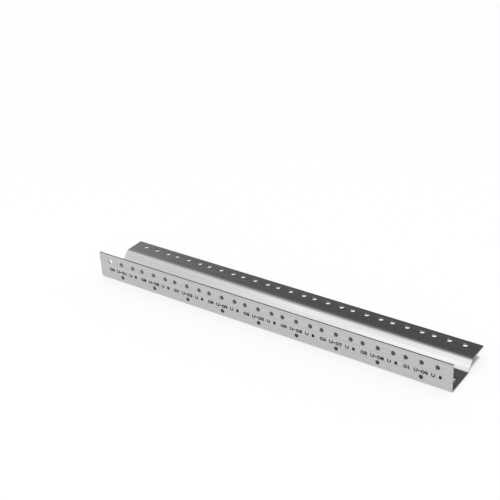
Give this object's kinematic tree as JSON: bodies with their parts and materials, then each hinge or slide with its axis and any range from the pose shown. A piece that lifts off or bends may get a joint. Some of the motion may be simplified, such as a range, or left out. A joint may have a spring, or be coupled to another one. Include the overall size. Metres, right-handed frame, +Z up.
{
  "type": "rack mounting rail",
  "caption": "Bent sheet-steel rack mounting rail with a punched mounting flange, a perforated web, a sloped side and a raised ledge.",
  "frame": {"origin": "on the floor under the middle of the rail, lying on its web", "axes": "+X along the rail, +Y from the mounting flange's outer face to the free edge of the ledge, +Z up from the web's underside"},
  "size_m": [0.417, 0.067, 0.0305],
  "materials": {
    "galvanised_steel": "bright galvanised sheet, faint lengthwise rolling streaks"
  },
  "bodies": {
    "root": {"mounting_rail": "galvanised_steel"}
  },
  "joints": []
}
